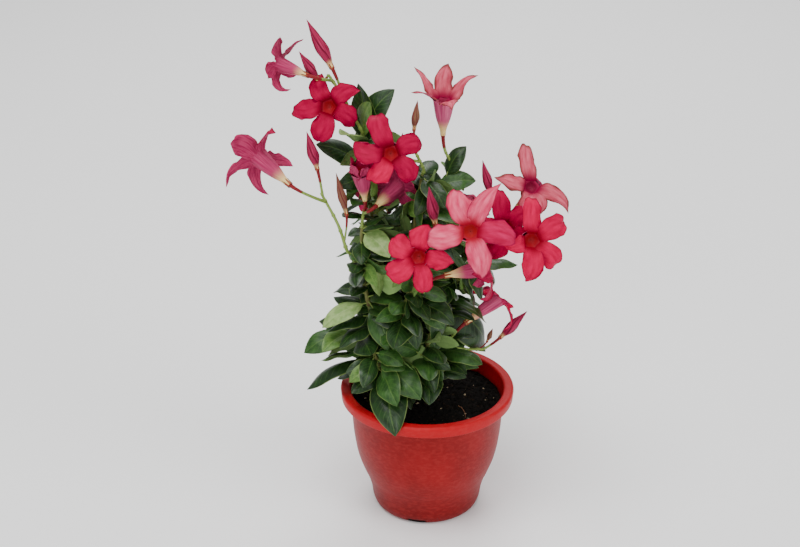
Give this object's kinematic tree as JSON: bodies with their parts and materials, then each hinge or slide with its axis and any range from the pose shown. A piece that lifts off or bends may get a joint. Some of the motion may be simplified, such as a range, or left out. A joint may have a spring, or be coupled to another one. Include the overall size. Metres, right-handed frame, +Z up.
{
  "type": "potted mandevilla",
  "caption": "Potted mandevilla: a leafy twining shrub with red and pink trumpet flowers and pointed buds, growing in soil in a round red plastic nursery pot with a turned-down lip.",
  "frame": {"origin": "centre of the pot's flat underside, on the surface that it stands on", "axes": "+Z up along the pot's axis, -Y to the front of the plant as the picture shows it, +X to its right"},
  "size_m": [0.3093, 0.2042, 0.497],
  "materials": {
    "pot": "satin moulded plastic, faintly mottled",
    "soil": "rough dark crumbly potting mix",
    "bark": "thin brown bark, greener towards the tips",
    "leaf": "glossy leathery leaf",
    "blossom": "soft satin petal"
  },
  "bodies": {
    "root": {"pot": "pot", "soil": "soil", "foot": "bark", "bough_back": "bark", "bough_back_right": "bark", "bough_centre": "bark", "bough_front": "bark", "bough_left": "bark", "bough_right": "bark", "bough_top_left": "bark", "leaves_back": "leaf", "leaves_back_right": "leaf", "leaves_centre": "leaf", "leaves_front": "leaf", "leaves_left": "leaf", "leaves_low_back": "leaf", "leaves_low_centre": "leaf", "leaves_low_front": "leaf", "leaves_low_left": "leaf", "leaves_low_right": "leaf", "leaves_right": "leaf", "leaves_top_left": "leaf", "blossom_back": "blossom", "blossom_back_right": "blossom", "blossom_centre": "blossom", "blossom_centre_left": "blossom", "blossom_front": "blossom", "blossom_front_right": "blossom", "blossom_left": "blossom", "blossom_low_right": "blossom", "blossom_right": "blossom", "blossom_top_left": "blossom", "blossom_top_right": "blossom"}
  },
  "joints": []
}
